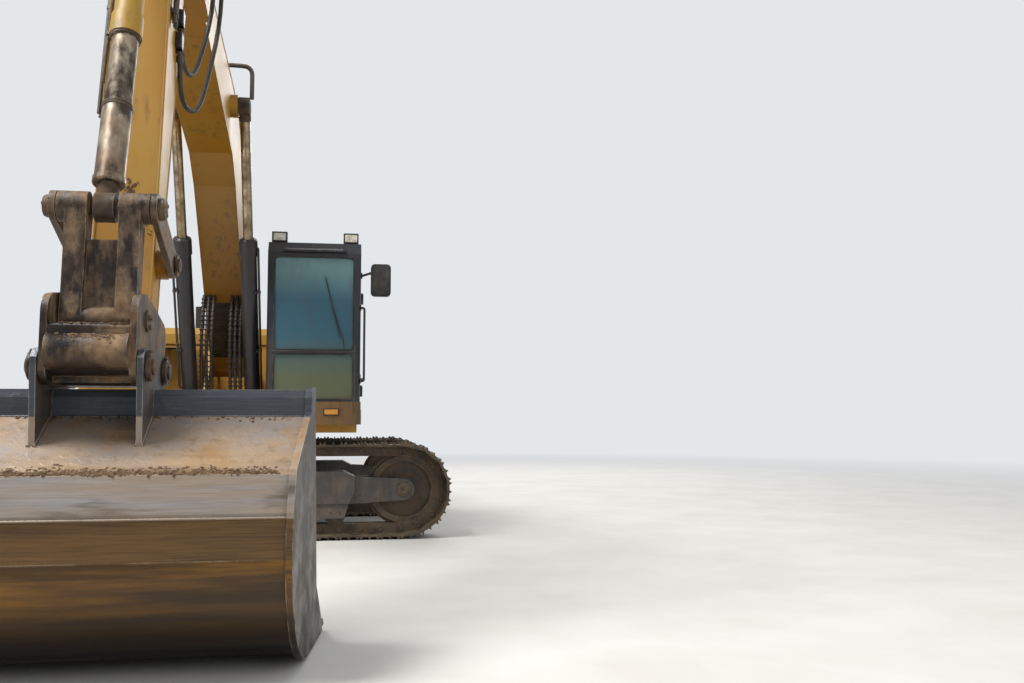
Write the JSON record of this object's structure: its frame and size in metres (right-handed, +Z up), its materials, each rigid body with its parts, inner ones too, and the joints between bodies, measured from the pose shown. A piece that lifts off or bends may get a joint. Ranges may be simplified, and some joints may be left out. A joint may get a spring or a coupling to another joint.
{
  "type": "crawler excavator",
  "caption": "Crawler excavator: tracked undercarriage, swinging upper with a glazed cab, bent boom, stick and link-driven wide smooth-edged bucket on a quick coupler.",
  "frame": {"origin": "on the ground, on the swing axis", "axes": "+X forward along the boom, +Y to the machine's left where the cab is, +Z up; the undercarriage is stored a quarter turn round, its tracks along Y"},
  "size_m": [10.8323, 5.08, 5.8186],
  "materials": {
    "body_paint": "semi-gloss, dusty",
    "black_paint": "semi-gloss",
    "frame_paint": "satin, dusty",
    "track_steel": "worn, dusty",
    "pin_steel": "worn",
    "worn_cast": "mud caked",
    "bucket_steel": "worn, mud stained",
    "barrel_black": "satin",
    "rod_chrome": "worn",
    "pipe_steel": "painted",
    "window_glass": "tinted",
    "dark_plastic": "matte",
    "seat_cloth": "woven"
  },
  "bodies": {
    "undercarriage": {"car_body": "frame_paint", "swing_ring": "frame_paint", "track_frames": "frame_paint", "track_left": "track_steel", "track_right": "track_steel", "idler_wheels": "track_steel", "sprockets": "track_steel", "final_drives": "frame_paint", "lower_rollers": "track_steel", "carrier_rollers": "track_steel"},
    "upper": {"deck": "body_paint", "counterweight": "black_paint", "engine_block": "track_steel", "engine_housing": "body_paint", "engine_hood": "body_paint", "side_locker": "body_paint", "tanks": "body_paint", "step_box": "body_paint", "centre_cover": "body_paint", "handrails": "black_paint", "exhaust": "track_steel", "cab_shell": "black_paint", "cab_glass": "window_glass", "cab_skirt": "body_paint", "seat": "seat_cloth", "consoles": "dark_plastic", "rear_mirror": "dark_plastic", "cab_lamps": "dark_plastic", "upper_pins": "pin_steel"},
    "cab_door": {"cab_door": "black_paint", "door_glass": "window_glass"},
    "boom": {"boom": "body_paint", "boom_pins": "pin_steel", "boom_pipes": "pipe_steel"},
    "boom_barrels": {"boom_cylinder_barrels": "barrel_black"},
    "boom_rods": {"boom_cylinder_rods": "rod_chrome"},
    "stick": {"stick": "body_paint", "stick_pins": "pin_steel"},
    "stick_barrel": {"stick_cylinder_barrel": "body_paint"},
    "stick_rod": {"stick_cylinder_rod": "rod_chrome"},
    "bucket_barrel": {"bucket_cylinder_barrel": "body_paint"},
    "bucket_rod": {"bucket_cylinder_rod": "rod_chrome"},
    "idlers": {"idler_links": "worn_cast"},
    "h_link": {"h_link": "worn_cast"},
    "bucket": {"quick_coupler": "worn_cast", "coupler_pins": "pin_steel", "bucket": "bucket_steel"}
  },
  "joints": [
    {"name": "swing", "type": "hinge", "parent": "undercarriage", "child": "upper", "pos_m": [0, 0, 1.12], "axis": [0, 0, 1], "continuous": true},
    {"name": "boom_lift", "type": "hinge", "parent": "upper", "child": "boom", "pos_m": [0.18, 0, 1.98], "axis": [0, -1, 0], "range_deg": [-73, 32]},
    {"name": "boom_barrels_tilt", "type": "hinge", "parent": "upper", "child": "boom_barrels", "pos_m": [1.02, 0, 1.45], "axis": [0, -1, 0], "range_deg": [-81, 36]},
    {"name": "boom_rods_slide", "type": "slide", "parent": "boom_barrels", "child": "boom_rods", "axis": [0.469, 0, 0.8832], "range_m": [-1.017, 0.448]},
    {"name": "stick_swing", "type": "hinge", "parent": "boom", "child": "stick", "pos_m": [5.65428, 0, 4.89072], "axis": [0, 1, 0], "range_deg": [-82, 38]},
    {"name": "stick_barrel_tilt", "type": "hinge", "parent": "boom", "child": "stick_barrel", "pos_m": [2.55058, 0, 4.76377], "axis": [0, 1, 0], "range_deg": [-5, 3]},
    {"name": "stick_rod_slide", "type": "slide", "parent": "stick_barrel", "child": "stick_rod", "axis": [0.9618, 0, 0.2736], "range_m": [-1.064, 0.495]},
    {"name": "bucket_curl", "type": "hinge", "parent": "stick", "child": "bucket", "pos_m": [6.4663, 0, 1.79547], "axis": [0, 1, 0], "range_deg": [-60, 98]},
    {"name": "idlers_turn", "type": "hinge", "parent": "stick", "child": "idlers", "pos_m": [6.33942, 0, 2.2791], "axis": [0, 1, 0], "range_deg": [-50, 81]},
    {"name": "h_link_turn", "type": "hinge", "parent": "idlers", "child": "h_link", "pos_m": [6.93576, 0, 2.51144], "axis": [0, 1, 0], "range_deg": [-56, 35]},
    {"name": "bucket_barrel_tilt", "type": "hinge", "parent": "stick", "child": "bucket_barrel", "pos_m": [6.03214, 0, 5.14493], "axis": [0, 1, 0], "range_deg": [-3, 5]},
    {"name": "bucket_rod_slide", "type": "slide", "parent": "bucket_barrel", "child": "bucket_rod", "axis": [0.3246, 0, -0.9459], "range_m": [-0.457, 0.744]},
    {"name": "door_swing", "type": "hinge", "parent": "upper", "child": "cab_door", "pos_m": [0.61, 1.548, 2.1], "axis": [0, 0, 1], "range_deg": [0, 110]}
  ],
  "couplings": [
    {"joint": "boom_barrels_tilt", "follows": "boom_lift", "ratio": 1.0848},
    {"joint": "boom_rods_slide", "follows": "boom_lift", "m_per_rad": 0.7953},
    {"joint": "stick_barrel_tilt", "follows": "stick_swing", "ratio": 0.0431},
    {"joint": "stick_rod_slide", "follows": "stick_swing", "m_per_rad": 0.7404},
    {"joint": "idlers_turn", "follows": "bucket_curl", "ratio": 0.8076},
    {"joint": "h_link_turn", "follows": "bucket_curl", "ratio": -0.5568},
    {"joint": "bucket_barrel_tilt", "follows": "bucket_curl", "ratio": 0.0319},
    {"joint": "bucket_rod_slide", "follows": "bucket_curl", "m_per_rad": 0.4329}
  ]
}
